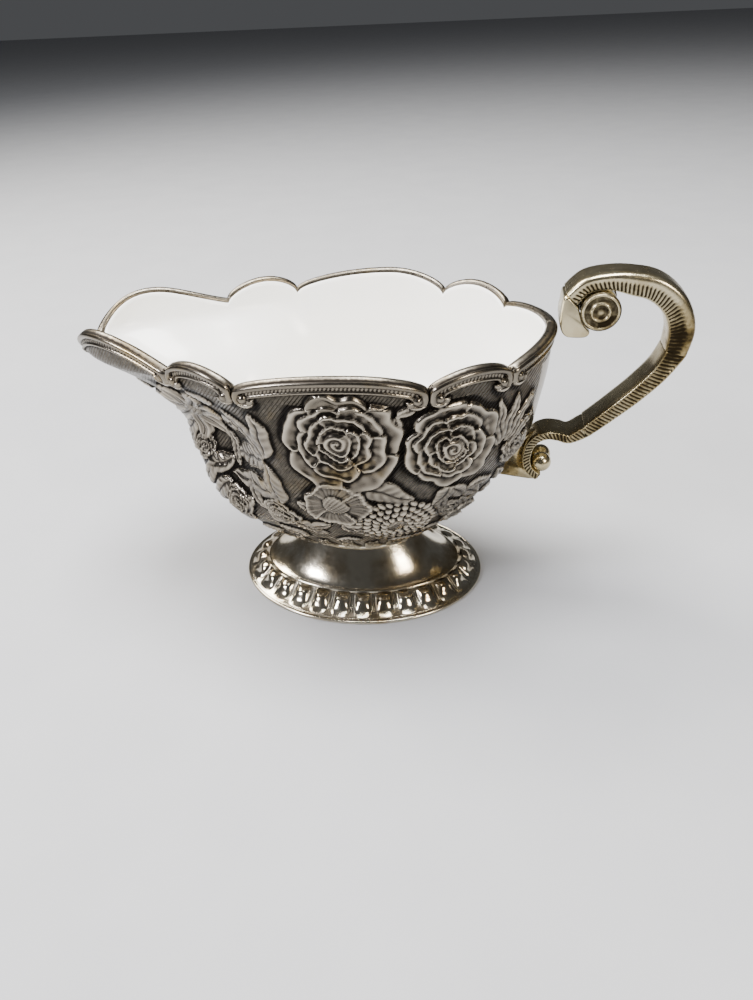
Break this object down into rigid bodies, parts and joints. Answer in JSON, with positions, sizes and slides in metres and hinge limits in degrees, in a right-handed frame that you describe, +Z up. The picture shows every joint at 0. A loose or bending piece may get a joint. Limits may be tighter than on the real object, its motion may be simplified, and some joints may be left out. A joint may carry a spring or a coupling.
{
  "type": "cream jug",
  "caption": "Footed cream jug with a boat-shaped flower-chased bowl, scrolled rim, long pouring spout, white enamel lining and scroll handle.",
  "frame": {"origin": "middle of the jug's length and width, on the plane it stands on", "axes": "+X from the spout towards the handle, +Y across the jug, +Z up"},
  "size_m": [0.1282, 0.0622, 0.0768],
  "materials": {
    "oxidised_silver": "silver plate over cast metal, darkened in the hollows of the chasing",
    "rim_silver": "silver plate, worn bright on the crests",
    "polished_silver": "polished silver plate with light tarnish",
    "handle_silver": "silver plate with warm golden tarnish",
    "enamel": "glossy white enamel"
  },
  "bodies": {
    "root": {"near_body_half": "oxidised_silver", "far_body_half": "oxidised_silver", "enamel_lining": "enamel", "near_spout_scroll": "rim_silver", "near_shoulder_scroll": "rim_silver", "near_long_scroll": "rim_silver", "near_rear_scroll": "rim_silver", "near_handle_scroll": "rim_silver", "far_spout_scroll": "rim_silver", "far_shoulder_scroll": "rim_silver", "far_long_scroll": "rim_silver", "far_rear_scroll": "rim_silver", "far_handle_scroll": "rim_silver", "foot_collar": "polished_silver", "foot_dome": "polished_silver", "foot_gadroon_border": "polished_silver", "foot_base_flange": "polished_silver", "handle_socket": "handle_silver", "handle_upper_scroll": "handle_silver", "handle_lower_arm": "handle_silver", "handle_lower_curl": "handle_silver", "handle_web": "handle_silver", "volute_core": "handle_silver", "near_volute_roundel": "handle_silver", "far_volute_roundel": "handle_silver", "curl_ball": "handle_silver"}
  },
  "joints": []
}
